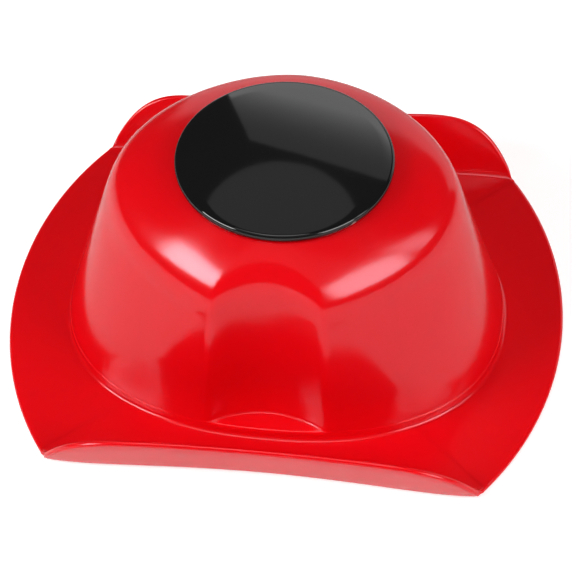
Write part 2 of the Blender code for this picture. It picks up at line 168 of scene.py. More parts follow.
# Screw heads and tips, as shares of the head's height, the head's radius or the thread's radius
HEAD_DOME = 0.75
CROSS_DEPTH = 0.55
CROSS_LENGTH = 1.1
CROSS_WIDTH = 0.2
TIP_ROUND = 0.4

# Eased edges, from sharp to soft
SHARP_EDGE = 0.0001
FINE_EDGE = 0.0002
EDGE = 0.0003
FULL_EDGE = 0.0004
SOFT_EDGE = 0.0005
PLATE_EDGE = 0.0008

# Heights and radii that follow
SEAT_RADIUS = CAP_RADIUS - SEAT_INSET
FOOT_TOP = WALL + FOOT_HEIGHT
INNER_TOP = CROWN_HEIGHT - WALL
BORE_RADIUS = STEM_RADIUS + CLEARANCE
SLEEVE_RADIUS = BORE_RADIUS + SLEEVE_WALL
SLEEVE_BOTTOM = INNER_TOP - SLEEVE_LENGTH
CAP_BOTTOM = CROWN_HEIGHT + CLEARANCE
CAP_TOP = CAP_BOTTOM + CAP_THICKNESS
CAP_BOSS_END = CAP_BOTTOM - CAP_BOSS_LENGTH
CAP_PILOT_TOP = CAP_BOSS_END + CAP_PILOT_DEPTH
PLATE_TOP = PLATE_BOTTOM + PLATE_THICKNESS
STEM_TOP = CAP_BOTTOM - CLEARANCE
STEM_BOTTOM = PLATE_TOP + CLEARANCE
STEM_CAVITY = STEM_RADIUS - STEM_WALL
SOCKET_RADIUS = CAP_BOSS_RADIUS + CLEARANCE
SOCKET_FLOOR = CAP_BOSS_END - CLEARANCE
SCREW_PASSAGE = LONG_SCREW_RADIUS + CLEARANCE
LONG_SCREW_HEAD_TOP = PLATE_BOTTOM + LONG_SCREW_HEAD_HEIGHT
LONG_SCREW_TIP = CAP_PILOT_TOP - LONG_SCREW_TIP_ROOM
RECESS_RADIUS = LONG_SCREW_HEAD + CLEARANCE
RECESS_TOP = LONG_SCREW_HEAD_TOP + CLEARANCE
BOSS_BOTTOM = INNER_TOP - BOSS_LENGTH
RING_TOP = BOSS_BOTTOM - CLEARANCE
RING_BOTTOM = RING_TOP - RING_THICKNESS
RING_HOLE = PRONG_RADIUS + CLEARANCE
PLATE_HOLE = PRONG_RADIUS + PRONG_PASSAGE
PRONG_HEAD_BOTTOM = RING_TOP + CLEARANCE
PRONG_HEAD_TOP = PRONG_HEAD_BOTTOM + PRONG_HEAD_HEIGHT
PRONG_TIP = PLATE_BOTTOM + PRONG_TIP_INSET
SMALL_SCREW_HOLE = SMALL_SCREW_RADIUS + CLEARANCE
SMALL_SCREW_HEAD_TOP = RING_BOTTOM - CLEARANCE
SMALL_SCREW_HEAD_BOTTOM = SMALL_SCREW_HEAD_TOP - SMALL_SCREW_HEAD_HEIGHT
SMALL_SCREW_TIP = BOSS_BOTTOM + SMALL_SCREW_REACH

# How finely the curves are cut
ARC_STEPS = 72
LIP_STEPS = 96
LIP_SPREAD = 0.25             # how far the columns of a lip are drawn towards its ends
BRIM_STEPS = 5
BEND_STEPS = 6
LIP_RISE_STEPS = 3
LIP_ROUND_STEPS = 6
FILLET_STEPS = 6
OUTER_WALL_STEPS = 18
OUTER_SHOULDER_STEPS = 26
INNER_WALL_STEPS = 10
INNER_SHOULDER_STEPS = 16
DOME_STEPS = 12
RIM_STEPS = 8
EDGE_STEPS = 5
CAP_SIDES = 160
PLATE_SIDES = 160
STEM_SIDES = 96
SCREW_SIDES = 48
PRONG_SIDES = 32
START_RADIUS = 0.01           # circle that a loft starts from, before its points are placed
POLE = 1e-7                   # radius of a pole's ring before it is merged
MERGE = 1e-6
DRILL_BEYOND = 0.0005         # how far a drill runs past the faces it cuts
SMOOTH_ANGLE = 35             # degrees between faces that still shade as one
HAT_SMOOTH_ANGLE = 40

# Stage, light and camera
BLACK = (0, 0, 0, 1)
WHITE = (1, 1, 1, 1)
FLOOR_SIZE = 6.0
FLOOR_COLOUR = (0.90, 0.90, 0.90, 1)
FLOOR_SEEN = 0.44             # what the camera sees beyond the floor's own light
FLOOR_MIRRORED = 0.03         # the same in a reflection or through a clear piece
SURROUNDINGS = (0.06, 0.06, 0.06, 1)
LAMP_TARGET = Vector((0, 0, 0.05))
UPPER_CARD_AIM = Vector((-0.139, -0.049, 0.222))
UPPER_CARD_FULL = 0.43        # share of the upper card's height that shines in full
UPPER_CARD_DIM = (0.19, 0.19, 0.19, 1)  # what is left of it at the card's dim edge
CAMERA_TARGET = Vector((-0.0001425, 0, 0.011175))
CAMERA_DISTANCE = 0.80475
CAMERA_ELEVATION = math.radians(47.64)
CAMERA_AZIMUTH = math.radians(7.61)
CAMERA_ROLL = math.radians(0.91)
SENSOR_WIDTH = 36             # millimetres, for a picture of this many pixels
PICTURE_PIXELS = 572
FOCAL_PIXELS = 2980


# Modelling by operators

def deselect():
    """Select nothing."""
    for obj in bpy.context.view_layer.objects:
        obj.select_set(False)


def chosen(piece, others=()):
    """Select these pieces only, the first one active."""
    deselect()
    for obj in (piece, *others):
        obj.select_set(True)
    bpy.context.view_layer.objects.active = piece


def begin(add, name, **sizes):
    """Add a primitive with nothing else selected, and open it for editing."""
    if bpy.context.object and bpy.context.object.mode != "OBJECT":
        bpy.ops.object.mode_set(mode="OBJECT")
    deselect()
    add(**sizes)
    piece = bpy.context.object
    piece.name = name
    piece.data.name = name
    bpy.ops.object.transform_apply(location=True, rotation=True, scale=True)
    bpy.ops.object.mode_set(mode="EDIT")
    return piece


def lofted(name, rings):
    """Extrude a circle ring by ring through these loops of points."""
    piece = begin(bpy.ops.mesh.primitive_circle_add, name, vertices=len(rings[0]),
                  radius=START_RADIUS, fill_type="NOTHING")
    shape = bmesh.from_edit_mesh(piece.data)
    column = shape.verts.layers.int.new("column")
    shape.verts.ensure_lookup_table()
    for i, vert in enumerate(shape.verts):
        vert[column] = i
    bpy.ops.mesh.select_all(action="SELECT")
    for number, points in enumerate(rings):
        if number:
            bpy.ops.mesh.extrude_edges_indiv()
        shape = bmesh.from_edit_mesh(piece.data)
        column = shape.verts.layers.int["column"]
        for vert in shape.verts:
            if vert.select:
                vert.co = points[vert[column]]
        bmesh.update_edit_mesh(piece.data)
    return piece


def finish_mesh(piece, smooth_angle=SMOOTH_ANGLE):
    """Merge a lofted piece, turn its faces outwards, shade it and leave edit mode."""
    bpy.ops.mesh.select_all(action="SELECT")
    bpy.ops.mesh.remove_doubles(threshold=MERGE)
    bpy.ops.mesh.normals_make_consistent(inside=False)
    bpy.ops.mesh.select_all(action="DESELECT")
    bpy.ops.object.mode_set(mode="OBJECT")
    piece.data.attributes.remove(piece.data.attributes["column"])
    bpy.ops.object.shade_smooth_by_angle(angle=math.radians(smooth_angle))
    return piece


def joined(piece, others):
    """Make the others part of a piece."""
    chosen(piece, others)
    bpy.ops.object.join()


def cut(piece, cutters):
    """Take cutters out of a piece."""
    for cutter in cutters:
        chosen(piece)
        modifier = piece.modifiers.new("cut", "BOOLEAN")
        modifier.operation = "DIFFERENCE"
        modifier.solver = "EXACT"
        modifier.object = cutter
        bpy.ops.object.modifier_apply(modifier=modifier.name)
        bpy.data.objects.remove(cutter)
    bpy.ops.object.shade_smooth_by_angle(angle=math.radians(SMOOTH_ANGLE))


# Turned pieces

def circle(radius, z, sides):
    """Loop of points round the axis."""
    angles = [2 * math.pi * i / sides for i in range(sides)]
    return [Vector((radius * math.cos(angle), radius * math.sin(angle), z)) for angle in angles]


def eased(corners):
    """Profile with its corners rounded: radius, height and rounding of each."""
    points = []
    for i, (radius, z, rounding) in enumerate(corners):
        corner = Vector((radius, z))
        if not rounding:
            points.append((radius, z))
            continue
        start = corner + (Vector(corners[i - 1][:2]) - corner).normalized() * rounding
        end = corner + (Vector(corners[(i + 1) % len(corners)][:2]) - corner).normalized() * rounding
        for step in range(EDGE_STEPS + 1):
            share = step / EDGE_STEPS
            points.append(tuple(start.lerp(corner, share).lerp(corner.lerp(end, share), share)))
    return points


def turned(name, profile, sides, closed=False):
    """Piece turned from (radius, height) points, from pole to pole or, if closed, round a ring."""
    rings = [circle(max(radius, POLE), z, sides) for radius, z in profile]
    piece = lofted(name, rings + rings[:1] if closed else rings)
    return finish_mesh(piece)


def spread(piece, name, count):
    """Copies of a piece round the prongs' circle, each with its own mesh; the piece becomes the first."""
    copies = [piece] + [piece.copy() for _ in range(count - 1)]
    for copy in copies[1:]:
        copy.data = piece.data.copy()
        bpy.context.scene.collection.objects.link(copy)
    for i, copy in enumerate(copies):
        turn = Matrix.Rotation(2 * math.pi * (i + 0.5) / count, 4, "Z")
        copy.data.transform(turn @ Matrix.Translation((PRONG_CIRCLE, 0, 0)))
        copy.name = f"{name}_{i + 1}"
        copy.data.name = copy.name
    return copies


def holes(piece, radius, low, high, count, edge):
    """Drill a ring of holes with eased edges through a piece."""
    mouth = radius + edge
    profile = [(0, low - DRILL_BEYOND), (mouth, low - DRILL_BEYOND)]
    profile += eased([(mouth, low, 0), (radius, low, edge), (radius, high, edge), (mouth, high, 0)])
    profile += [(mouth, high + DRILL_BEYOND), (0, high + DRILL_BEYOND)]
    cut(piece, spread(turned("hole", profile, PRONG_SIDES), "hole", count))


def screw(name, radius, head, head_bottom, head_top, tip):
    """Pan-head screw, head down, with a cross for the driver."""
    head_height = head_top - head_bottom
    corners = [(0, head_bottom, 0), (head, head_bottom, head_height * HEAD_DOME),
               (head, head_top, SHARP_EDGE), (radius, head_top, 0),
               (radius, tip, radius * TIP_ROUND), (0, tip, 0)]
    piece = turned(name, eased(corners), SCREW_SIDES)
    length = head * CROSS_LENGTH
    width = head * CROSS_WIDTH
    depth = head_height * CROSS_DEPTH
    crosses = []
    for size in ((length, width), (width, length)):
        crosses.append(begin(bpy.ops.mesh.primitive_cube_add, "cross", size=1, location=(0, 0, head_bottom),
                             scale=(*size, 2 * depth)))
        bpy.ops.object.mode_set(mode="OBJECT")
    cut(piece, crosses)
    return piece


def press_cap():
    """Black cap with a rounded rim, a slightly domed top and a boss below."""
    inner = CAP_RADIUS - CAP_ROUND
    profile = [(0.0, CAP_TOP)]
    for i in range(1, DOME_STEPS + 1):
        share = i / DOME_STEPS
        profile.append((inner * share, CAP_TOP - CAP_DOME * share ** 2))
    middle = CAP_TOP - CAP_DOME - CAP_ROUND
    for i in range(1, RIM_STEPS + 1):
        turn = math.pi / 2 * (1 - i / RIM_STEPS)
        profile.append((inner + CAP_ROUND * math.cos(turn), middle + CAP_ROUND * math.sin(turn)))
    middle = CAP_BOTTOM + CAP_UNDER_ROUND
    for i in range(RIM_STEPS + 1):
        turn = math.pi / 2 * i / RIM_STEPS
        profile.append((CAP_RADIUS - CAP_UNDER_ROUND * (1 - math.cos(turn)),
                        middle - CAP_UNDER_ROUND * math.sin(turn)))
    profile += eased([(CAP_BOSS_RADIUS + SOFT_EDGE, CAP_BOTTOM, 0), (CAP_BOSS_RADIUS, CAP_BOTTOM, FULL_EDGE),
                      (CAP_BOSS_RADIUS, CAP_BOSS_END, EDGE), (SCREW_PASSAGE, CAP_BOSS_END, FINE_EDGE),
                      (SCREW_PASSAGE, CAP_PILOT_TOP, 0), (0, CAP_PILOT_TOP, 0)])
    return turned("cap_disc", profile, CAP_SIDES)


def stem():
    """Hollow stem with a socket for the cap's boss and a hole for the screw in each end wall."""
    cavity_floor = STEM_BOTTOM + STEM_WEB
    cavity_top = SOCKET_FLOOR - STEM_WEB
    corners = [(SOCKET_RADIUS, STEM_TOP, FINE_EDGE), (STEM_RADIUS, STEM_TOP, FULL_EDGE),
               (STEM_RADIUS, STEM_BOTTOM, FULL_EDGE), (SCREW_PASSAGE, STEM_BOTTOM, FINE_EDGE),
               (SCREW_PASSAGE, cavity_floor, 0), (STEM_CAVITY, cavity_floor, SOFT_EDGE),
               (STEM_CAVITY, cavity_top, SOFT_EDGE), (SCREW_PASSAGE, cavity_top, 0),
               (SCREW_PASSAGE, SOCKET_FLOOR, 0), (SOCKET_RADIUS, SOCKET_FLOOR, 0)]
    return turned("stem_tube", eased(corners), STEM_SIDES, closed=True)


def plate():
    """Round plate that presses on the food, with passages for the prongs and a recess for the screw."""
    corners = [(SCREW_PASSAGE, PLATE_TOP, 0), (PLATE_RADIUS, PLATE_TOP, PLATE_EDGE),
               (PLATE_RADIUS, PLATE_BOTTOM, PLATE_EDGE), (RECESS_RADIUS, PLATE_BOTTOM, EDGE),
               (RECESS_RADIUS, RECESS_TOP, FINE_EDGE), (SCREW_PASSAGE, RECESS_TOP, 0)]
    piece = turned("food_plate", eased(corners), PLATE_SIDES, closed=True)
    holes(piece, PLATE_HOLE, PLATE_BOTTOM, PLATE_TOP, PRONG_COUNT, EDGE)
    return piece


def carrier_ring():
    """Ring under the crown, drilled for the prongs and its screws."""
    corners = [(RING_INNER, RING_TOP, FULL_EDGE), (RING_OUTER, RING_TOP, SOFT_EDGE),
               (RING_OUTER, RING_BOTTOM, SOFT_EDGE), (RING_INNER, RING_BOTTOM, FULL_EDGE)]
    piece = turned("carrier_ring", eased(corners), PLATE_SIDES, closed=True)
    holes(piece, RING_HOLE, RING_BOTTOM, RING_TOP, PRONG_COUNT, FINE_EDGE)
    holes(piece, SMALL_SCREW_HOLE, RING_BOTTOM, RING_TOP, SMALL_SCREW_COUNT, FINE_EDGE)
    return piece


def prongs():
    """Steel prongs: flat head above the ring, ground point at the plate."""
    corners = [(0, PRONG_HEAD_TOP, 0), (PRONG_HEAD, PRONG_HEAD_TOP, EDGE),
               (PRONG_HEAD, PRONG_HEAD_BOTTOM, FINE_EDGE), (PRONG_RADIUS, PRONG_HEAD_BOTTOM, 0),
               (PRONG_RADIUS, PRONG_TIP + PRONG_POINT, PRONG_POINT_ROUND),
               (PRONG_TIP_RADIUS, PRONG_TIP, SHARP_EDGE), (0, PRONG_TIP, 0)]
    return spread(turned("steel_prong", eased(corners), PRONG_SIDES), "steel_prong", PRONG_COUNT)


def carrier_screws():
    """Small screws that hold the ring to the bosses of the hat."""
    piece = screw("carrier_screw", SMALL_SCREW_RADIUS, SMALL_SCREW_HEAD, SMALL_SCREW_HEAD_BOTTOM,
                  SMALL_SCREW_HEAD_TOP, SMALL_SCREW_TIP)
    return spread(piece, "carrier_screw", SMALL_SCREW_COUNT)


def long_screw():
    """Screw that clamps plate, stem and cap from below."""
    return screw("long_screw", LONG_SCREW_RADIUS, LONG_SCREW_HEAD, PLATE_BOTTOM, LONG_SCREW_HEAD_TOP,
                 LONG_SCREW_TIP)


# Brim and lips

def corner_x():
    """Half the length of the straight fold."""
    return BRIM_HALF_WIDTH * math.sqrt(1 - (FOLD_Y / BRIM_ARC_HALF_DEPTH) ** 2)


def arc_column(side, share):
    """Start, outward direction, length and bend of the brim's border at its rounded ends."""
    reach = math.asin(FOLD_Y / BRIM_ARC_HALF_DEPTH)
    angle = reach * (2 * share - 1)
    edge = Vector((BRIM_HALF_WIDTH * math.cos(angle), BRIM_ARC_HALF_DEPTH * math.sin(angle), 0))
    out = Vector((edge.x / BRIM_HALF_WIDTH ** 2, edge.y / BRIM_ARC_HALF_DEPTH ** 2, 0)).normalized()
    start = edge - out * BRIM_EDGE
    return side * start, side * out, BRIM_EDGE, False


def lip_column(side, share):
    """The same on a lip, which bends up from its fold."""
    along = 1 - 2 * share
    x = corner_x() * ((1 + LIP_SPREAD) * along - LIP_SPREAD * along ** 3)
    end = min(abs(x) / corner_x(), 1.0)
    middle = (1 - end ** 2) ** 2
    length = (LIP_LENGTH - LIP_DIP * middle) * (1 - end ** LIP_END_POWER) ** LIP_END_ROUND
    y = FOLD_Y - FOLD_BOW * middle - BRIM_EDGE * end ** CORNER_POWER
    return side * Vector((x, y, 0)), side * Vector((0, 1, 0)), max(length, BRIM_EDGE), True


def brim_columns():
    """Columns round the brim: right end, back lip, left end, front lip."""
    columns = []
    for side in (1, -1):
        columns += [arc_column(side, (i + 0.5) / ARC_STEPS) for i in range(ARC_STEPS)]
        columns += [lip_column(side, i / LIP_STEPS) for i in range(LIP_STEPS + 1)]
    return columns


def edge_section(column):
    """Points from the border's start over its rounded edge and back below, for one column."""
    start, out, length, bent = column
    up = Vector((0, 0, 1))
    half = WALL / 2
    bend_length = LIP_BEND * LIP_ANGLE
    reach = length - half
    first = min(bend_length, reach * BEND_STEPS / (BEND_STEPS + LIP_RISE_STEPS))
    distances = [first * i / BEND_STEPS for i in range(BEND_STEPS + 1)]
    distances += [first + (reach - first) * i / LIP_RISE_STEPS for i in range(1, LIP_RISE_STEPS + 1)]
    upper = []
    lower = []
    for distance in distances:
        turn = min(distance, bend_length) / LIP_BEND if bent else 0.0
        along = out * math.cos(turn) + up * math.sin(turn)
        normal = up * math.cos(turn) - out * math.sin(turn)
        if bent:
            place = start + out * (LIP_BEND * math.sin(turn)) + up * (LIP_BEND * (1 - math.cos(turn)))
            place = place + along * max(distance - bend_length, 0.0)
        else:
            place = start + out * distance
        upper.append(place + up * WALL)
        lower.append(place + up * WALL - normal * WALL)
    middle = upper[-1] - normal * half
    rounding = []
    for i in range(1, LIP_ROUND_STEPS):
        swing = math.pi * i / LIP_ROUND_STEPS
        rounding.append(middle + (normal * math.cos(swing) + along * math.sin(swing)) * half)
    return upper, rounding, lower


# Crown

def oval_radius(angle, half_x, half_y, power):
    """Distance from the axis to a rounded oval, in one direction."""
    share_x = abs(math.cos(angle)) / half_x
    share_y = abs(math.sin(angle)) / half_y
    return (share_x ** power + share_y ** power) ** (-1 / power)


def hollowed(radius, angle, z, inset):
    """The same distance with the front finger hollow taken out of it."""
    centre = FOOT_HALF_Y - HOLLOW_DEPTH + HOLLOW_RADIUS - HOLLOW_SLOPE * (z - FOOT_TOP)
    under_root = (HOLLOW_RADIUS + inset) ** 2 - (centre * math.cos(angle)) ** 2
    if under_root <= 0 or math.sin(angle) > 0:
        return radius
    hollow = -centre * math.sin(angle) - math.sqrt(under_root)
    share = max(HOLLOW_BLEND - abs(radius - hollow), 0.0) / HOLLOW_BLEND
    return min(radius, hollow) - share ** 2 * HOLLOW_BLEND / 4


def crown_shape(angle):
    """Slope, shoulder drop, corner drop, weight and power of the crown in one direction."""
    around = (CROWN_SLOPE_Y, SHOULDER_DROP, SHOULDER_CORNER_DROP, SHOULDER_WEIGHT, SHOULDER_POWER)
    front = (FRONT_SLOPE, FRONT_SHOULDER_DROP, FRONT_CORNER_DROP, FRONT_WEIGHT, FRONT_POWER)
    share = (-math.sin(angle) - FRONT_BEGIN) / (FRONT_FULL - FRONT_BEGIN)
    share = min(max(share, 0.0), 1.0)
    share = share ** 2 * (3 - 2 * share)
    return [a + (b - a) * share for a, b in zip(around, front)]


def wall_level(z, angle, inset):
    """Height, half axes and power of the oval on the sloping wall."""
    slope_y, shoulder_drop, _, _, shoulder_power = crown_shape(angle)
    rise = z - FOOT_TOP
    share = min(rise / (CROWN_HEIGHT - shoulder_drop - FOOT_TOP), 1.0)
    power = FOOT_POWER + (shoulder_power - FOOT_POWER) * share
    return (z, FOOT_HALF_X - CROWN_SLOPE_X * rise - inset, FOOT_HALF_Y - slope_y * rise - inset, power)


def shoulder_levels(angle, inset, steps):
    """Levels from the wall over the shoulder to the seat of the cap."""
    _, shoulder_drop, corner_drop, shoulder_weight, _ = crown_shape(angle)
    low = wall_level(CROWN_HEIGHT - shoulder_drop, angle, inset)
    corner = wall_level(CROWN_HEIGHT - corner_drop, angle, inset)
    corner = (corner[0] - inset,) + corner[1:]
    high = (CROWN_HEIGHT - inset, SEAT_RADIUS, SEAT_RADIUS, CIRCLE_POWER)
    levels = []
    for t in [i / steps for i in range(steps)] + [1 - SEAT_CREASE / steps, 1.0]:
        weights = ((1 - t) ** 2, 2 * t * (1 - t) * shoulder_weight, t ** 2)
        total = sum(weights)
        levels.append(tuple(sum(w * v for w, v in zip(weights, values)) / total
                            for values in zip(low, corner, high)))
    return levels


def crown_point(level, angle, inset):
    """Radius and height of the crown at a level."""
    z, half_x, half_y, power = level
    return (hollowed(oval_radius(angle, half_x, half_y, power), angle, z, inset), z)


def ledge_section(foot, angle, inset, edge, fillet):
    """Radius and height from the foot's wall over the ledge into the hollow's wall."""
    top = FOOT_TOP - inset
    end = top + LEDGE_RISE + fillet
    hollow = crown_point(wall_level(end, angle, inset), angle, inset)[0]
    run = max(foot - hollow, 0.0)
    first = min(edge, run / 2)
    last = min(fillet, run / 2)
    turns = [math.pi / 2 * i / FILLET_STEPS for i in range(FILLET_STEPS + 1)]
    section = [(foot - first * (1 - math.cos(turn)), top - edge * (1 - math.sin(turn))) for turn in turns]
    for turn in turns:
        section.append((hollow + last * (1 - math.sin(turn)),
                        top + LEDGE_RISE + fillet * (1 - math.cos(turn))))
    return section


def crown_section(angle, inset, brim_z, fillet, edge, ledge_fillet, wall_steps, shoulder_steps):
    """Radius and height from the brim up to the seat, on the outer face or, with an inset, the inner one."""
    foot = oval_radius(angle, FOOT_HALF_X, FOOT_HALF_Y, FOOT_POWER) - inset
    section = []
    for i in range(FILLET_STEPS + 1):
        turn = math.pi / 2 * i / FILLET_STEPS
        section.append((foot + fillet * (1 - math.sin(turn)), brim_z + fillet * (1 - math.cos(turn))))
    section += ledge_section(foot, angle, inset, edge, ledge_fillet)
    start = section[-1][1]
    shoulder = shoulder_levels(angle, inset, shoulder_steps)
    for i in range(1, wall_steps):
        level = wall_level(start + (shoulder[0][0] - start) * i / wall_steps, angle, inset)
        section.append(crown_point(level, angle, inset))
    section += [crown_point(level, angle, inset) for level in shoulder]
    return section


def sleeve_section():
    """Radius and height from the seat down the bore, round the end of the sleeve and up its outside."""
    seat = CROWN_HEIGHT
    ring = SEAT_RADIUS * SEAT_MIDDLE
    middle = (BORE_RADIUS + SLEEVE_RADIUS) / 2
    half = (SLEEVE_RADIUS - BORE_RADIUS) / 2
    flat = half * SLEEVE_END_FLAT
    end = SLEEVE_BOTTOM + SLEEVE_END_LIFT
    mouth_step = BORE_ROUND * ROUND_MIDDLE
    root_step = SLEEVE_ROOT * ROUND_MIDDLE
    return [(SEAT_RADIUS - SEAT_FLAT, seat), (ring, seat), (BORE_RADIUS * BORE_LAND, seat),
            (BORE_RADIUS + BORE_ROUND, seat), (BORE_RADIUS + mouth_step, seat - mouth_step),
            (BORE_RADIUS, seat - BORE_ROUND), (BORE_RADIUS, SLEEVE_BOTTOM + half / 2),
            (middle - flat, end), (middle + flat, end),
            (SLEEVE_RADIUS, SLEEVE_BOTTOM + half / 2), (SLEEVE_RADIUS, INNER_TOP - SLEEVE_ROOT),
            (SLEEVE_RADIUS + root_step, INNER_TOP - root_step),
            (SLEEVE_RADIUS + SLEEVE_ROOT, INNER_TOP), (ring, INNER_TOP)]


# Hat

def column_points(column):
    """The closed section of the moulding at one column."""
    upper, rounding, lower = edge_section(column)
    start = column[0]
    angle = math.atan2(start.y, start.x)
    spoke = Vector((math.cos(angle), math.sin(angle), 0))
    begins = start.length
    outer = crown_section(angle, 0.0, WALL, FOOT_FILLET, LEDGE_EDGE, LEDGE_FILLET,
                          OUTER_WALL_STEPS, OUTER_SHOULDER_STEPS)
    inner = crown_section(angle, WALL, 0.0, FOOT_FILLET + WALL, INNER_LEDGE_EDGE, LEDGE_FILLET + WALL,
                          INNER_WALL_STEPS, INNER_SHOULDER_STEPS)
    top_foot = outer[0][0]
    under_foot = inner[0][0]
    shares = [i / BRIM_STEPS for i in range(1, BRIM_STEPS)]
    section = [(begins + (top_foot - begins) * share, WALL) for share in shares]
    section += outer + sleeve_section() + list(reversed(inner))
    section += [(under_foot + (begins - under_foot) * share, 0) for share in shares]
    points = [spoke * radius + Vector((0, 0, z)) for radius, z in section]
    return list(reversed(upper)) + points + lower + list(reversed(rounding))


def hat():
    """The red moulding in one piece, with the bosses for the ring's screws."""
    columns = [column_points(column) for column in brim_columns()]
    rings = [list(ring) for ring in zip(*columns)]
    piece = finish_mesh(lofted("hat_moulding", rings + rings[:1]), HAT_SMOOTH_ANGLE)
    root = INNER_TOP + WALL / 2
    flare = BOSS_RADIUS + BOSS_FILLET
    profile = eased([(SMALL_SCREW_HOLE, root, 0), (SMALL_SCREW_HOLE, BOSS_BOTTOM, EDGE),
                     (BOSS_RADIUS, BOSS_BOTTOM, EDGE), (BOSS_RADIUS, INNER_TOP, BOSS_FILLET),
                     (flare, INNER_TOP, 0), (flare, root, 0)])
    boss = turned("boss", profile, SCREW_SIDES, closed=True)
    joined(piece, spread(boss, "boss", SMALL_SCREW_COUNT))
    return piece


# Finishes

class Socket:
    """One output of a shader node, so that sums on it read as sums."""

    def __init__(self, nodes, source):
        self.nodes = nodes
        self.source = source

    def _sum(self, operation, first, second):
        return self.nodes.node("ShaderNodeMath", {"operation": operation}, {0: first, 1: second})

    def __add__(self, other):
        return self._sum("ADD", self, other)

    def __sub__(self, other):
        return self._sum("SUBTRACT", self, other)

    def __rsub__(self, other):
        return self._sum("SUBTRACT", other, self)

    def __mul__(self, other):
        return self._sum("MULTIPLY", self, other)

    __radd__ = __add__
    __rmul__ = __mul__


class Nodes:
    """The nodes behind a shader, whose constants are set on its own sockets."""

    def __init__(self, tree, shader, **constants):
        self.tree = tree
        self.shader = tree.nodes[shader]
        for socket, value in constants.items():
            self.shader.inputs[socket.replace("_", " ")].default_value = value

    def node(self, kind, settings=None, sockets=None, output=0):
        """Add a node: its settings first, then the values or links of its sockets."""
        made = self.tree.nodes.new(kind)
        for setting, value in (settings or {}).items():
            setattr(made, setting, value)
        for socket, value in (sockets or {}).items():
            if isinstance(value, Socket):
                self.tree.links.new(value.source, made.inputs[socket])
            else:
                made.inputs[socket].default_value = value
        return Socket(self, made.outputs[output])

    def feed(self, **sockets):
        """Link values to the shader."""
        for socket, value in sockets.items():
            self.tree.links.new(value.source, self.shader.inputs[socket.replace("_", " ")])

    def place(self):
        """Object coordinates."""
        return self.node("ShaderNodeTexCoord", output="Object")

    def ray(self, kind):
        """One for rays of this kind, nought for the rest."""
        return self.node("ShaderNodeLightPath", output=kind)

    def distance(self, place, point):
        """Distance from a point."""
        return self.node("ShaderNodeVectorMath", {"operation": "DISTANCE"}, {0: place, 1: point},
                         output="Value")

    def noise(self, place, scale, detail=3.0, stretch=None):
        """Cloudy pattern of this many waves per metre, drawn out where its stretch is below one."""
        if stretch:
            place = self.node("ShaderNodeVectorMath", {"operation": "MULTIPLY"}, {0: place, 1: stretch})
        return self.node("ShaderNodeTexNoise", None, {"Vector": place, "Scale": scale, "Detail": detail})

    def ramp(self, value, low, high):
        """Nought below low, one above high."""
        return self.node("ShaderNodeMapRange", {"clamp": True},
                         {"Value": value, "From Min": low, "From Max": high})

    def blend(self, share, first, second):
        """Colour between two colours."""
        return self.node("ShaderNodeMix", {"data_type": "RGBA"}, {"Factor": share, 6: first, 7: second},
                         output=2)

    def bump(self, height, strength, distance):
        """Normals of a small relief."""
        return self.node("ShaderNodeBump", None,
                         {"Height": height, "Strength": strength, "Distance": distance})


class Finish(Nodes):
    """A material and the nodes that vary it over the surface."""

    def __init__(self, name, **constants):
        self.material = bpy.data.materials.new(name)
        self.material.use_nodes = True
        super().__init__(self.material.node_tree, "Principled BSDF", **constants)


def red_plastic():
    """Glossy red moulding: faint flow marks, handling marks and a slight wave in the gloss."""
    finish = Finish("red_plastic", IOR=1.5, Specular_Tint=(1.0, 0.88, 1.0, 1), Subsurface_Weight=0.5,
                    Subsurface_Radius=(1.0, 0.04, 0.04), Subsurface_Scale=0.003)
    place = finish.place()
    cloud = finish.noise(place, scale=28.0)
    flow = finish.noise(place, scale=60.0, detail=4.0, stretch=(1.0, 1.0, 0.25))
    specks = finish.ramp(finish.noise(place, scale=2600.0, detail=2.0), low=0.68, high=0.78)
    handled = finish.ramp(finish.noise(place, scale=45.0), low=0.50, high=0.64)
    scuffs = finish.ramp(finish.noise(place, scale=800.0, detail=4.0), low=0.50, high=0.62) * handled
    deep_red = (0.72, 0.0010, 0.0042, 1)
    clear_red = (0.80, 0.0018, 0.0062, 1)
    finish.feed(Base_Color=finish.blend(cloud * 0.6 + flow * 0.4, deep_red, clear_red))
    finish.feed(Roughness=0.12 + cloud * 0.05 + flow * 0.03 + specks * 0.10 + scuffs * 0.05)
    wave = finish.noise(place, scale=75.0, detail=2.0)
    grain = finish.noise(place, scale=900.0, detail=2.0)
    finish.feed(Normal=finish.bump(wave + grain * 0.03, strength=0.12, distance=0.00035))
    return finish.material


def black_plastic():
    """Polished black: dust, hairline scratches, a slight wave and the pale mark of the gate."""
    finish = Finish("black_plastic", IOR=1.5)
    place = finish.place()
    cloud = finish.noise(place, scale=40.0)
    hairs = finish.noise(place, scale=900.0, detail=2.0, stretch=(1.0, 0.05, 1.0))
    hairs = finish.ramp(hairs, low=0.66, high=0.80)
    dust = finish.ramp(finish.noise(place, scale=3200.0, detail=1.0), low=0.74, high=0.80)
    gate = 1 - finish.ramp(finish.distance(place, GATE_PLACE), low=GATE_CORE, high=GATE_REACH)
    clean_black = (0.0050, 0.0049, 0.0050, 1)
    dusty_black = (0.022, 0.021, 0.021, 1)
    gate_mark = (0.42, 0.30, 0.28, 1)
    body = finish.blend(dust * 0.5 + cloud * 0.1, clean_black, dusty_black)
    finish.feed(Base_Color=finish.blend(gate * 0.8, body, gate_mark))
    finish.feed(Roughness=0.03 + cloud * 0.02 + hairs * 0.02 + dust * 0.15)
    wave = finish.noise(place, scale=60.0, detail=2.0)
    finish.feed(Normal=finish.bump(wave, strength=0.05, distance=0.0002))
    return finish.material


